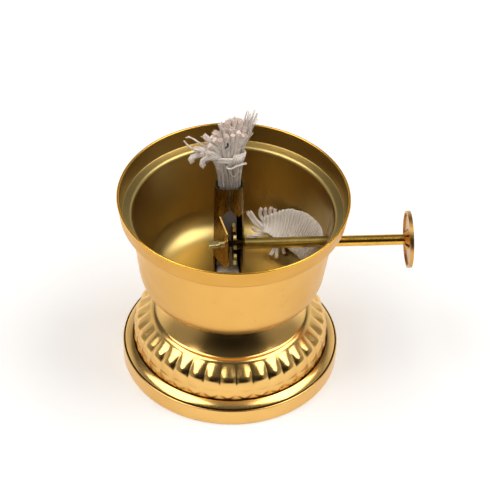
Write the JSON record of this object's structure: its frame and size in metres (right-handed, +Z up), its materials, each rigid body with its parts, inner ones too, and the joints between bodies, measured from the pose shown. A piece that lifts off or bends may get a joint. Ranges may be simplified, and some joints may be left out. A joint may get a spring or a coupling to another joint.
{
  "type": "butter lamp",
  "caption": "Brass butter lamp: a spun bowl on a gadrooned foot, with a cotton wick in a folded sheet holder that a knob on a cross spindle winds up and down.",
  "frame": {"origin": "on the lamp's vertical axis, in the plane of the foot's rolled hem that it stands on", "axes": "+Z up along the axis of bowl and foot, +X along the spindle towards the knob, +Y towards the wick holder's back"},
  "size_m": [0.0898, 0.07, 0.0908],
  "materials": {
    "satin_gold_brass": "spun, satin",
    "polished_gold_brass": "pressed, polished",
    "brass_sheet": "rolled, unpolished",
    "brass_rod": "drawn, bright",
    "zinc_steel": "zinc plated, dull",
    "cotton": "undyed, woven and loose yarn"
  },
  "bodies": {
    "lamp": {"foot": "polished_gold_brass", "bowl": "satin_gold_brass", "bowl_stud": "zinc_steel", "stud_washer": "zinc_steel", "stud_nut": "zinc_steel", "wick_holder": "brass_sheet", "wick_tail": "cotton"},
    "spindle": {"spindle": "brass_rod", "feed_wheel": "brass_sheet", "knob_disc": "brass_rod"},
    "wick": {"wick_sleeve": "cotton", "wick_core": "cotton", "wick_tie": "cotton"}
  },
  "joints": [
    {"name": "spindle_turn", "type": "hinge", "parent": "lamp", "child": "spindle", "pos_m": [0, 0, 0.0439], "axis": [1, 0, 0], "range_deg": [-44, 105]},
    {"name": "wick_feed", "type": "slide", "parent": "lamp", "child": "wick", "axis": [0, 0, 1], "range_m": [-0.005, 0.012]}
  ],
  "couplings": [
    {"joint": "wick_feed", "follows": "spindle_turn", "m_per_rad": 0.0065}
  ]
}
